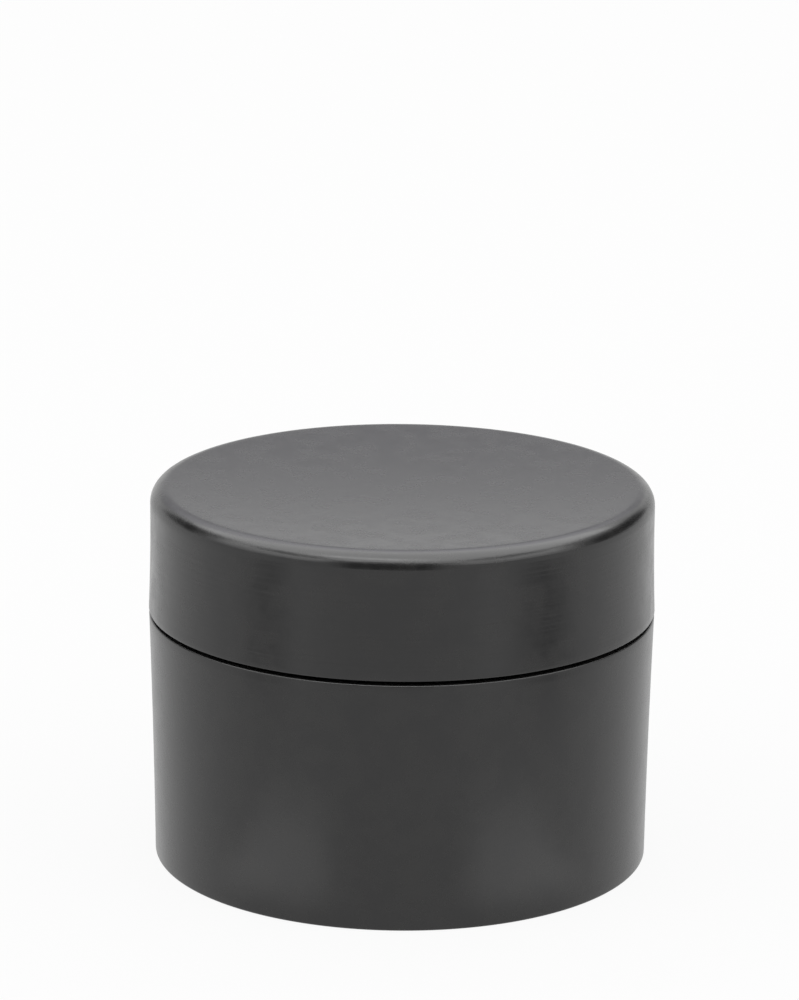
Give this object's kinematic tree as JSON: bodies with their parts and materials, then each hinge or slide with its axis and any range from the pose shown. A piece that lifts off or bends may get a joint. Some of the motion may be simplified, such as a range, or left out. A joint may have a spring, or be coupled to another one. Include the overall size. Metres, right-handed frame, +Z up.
{
  "type": "screw-lid jar",
  "caption": "Straight-sided matte black candle tin built as a double-wall jar, with a flush screw lid, an inner cup and a foam liner.",
  "frame": {"origin": "centre of the foot ring, on the surface that the jar stands on", "axes": "+Z up along the jar's axis"},
  "size_m": [0.078, 0.078, 0.0586],
  "materials": {
    "outer_jar": "satin black, finely etched",
    "inner_cup": "plain black, smoother than the outside",
    "lid_shell": "satin black, finely etched",
    "lid_insert": "plain black, smoother than the outside",
    "lid_liner": "off-white foam with a film face"
  },
  "bodies": {
    "jar": {"outer_jar": "outer_jar", "inner_cup": "inner_cup"},
    "liner": {"lid_liner": "lid_liner"},
    "lid": {"lid_shell": "lid_shell", "lid_insert": "lid_insert"}
  },
  "joints": [
    {"name": "lid_rise", "type": "slide", "parent": "jar", "child": "liner", "axis": [0, 0, 1], "range_m": [0, 0.032]},
    {"name": "lid_turn", "type": "hinge", "parent": "liner", "child": "lid", "pos_m": [0, 0, 0.05], "axis": [0, 0, 1], "range_deg": [0, 1440]}
  ],
  "couplings": [
    {"joint": "lid_rise", "follows": "lid_turn", "m_per_rad": 0.0012732}
  ]
}
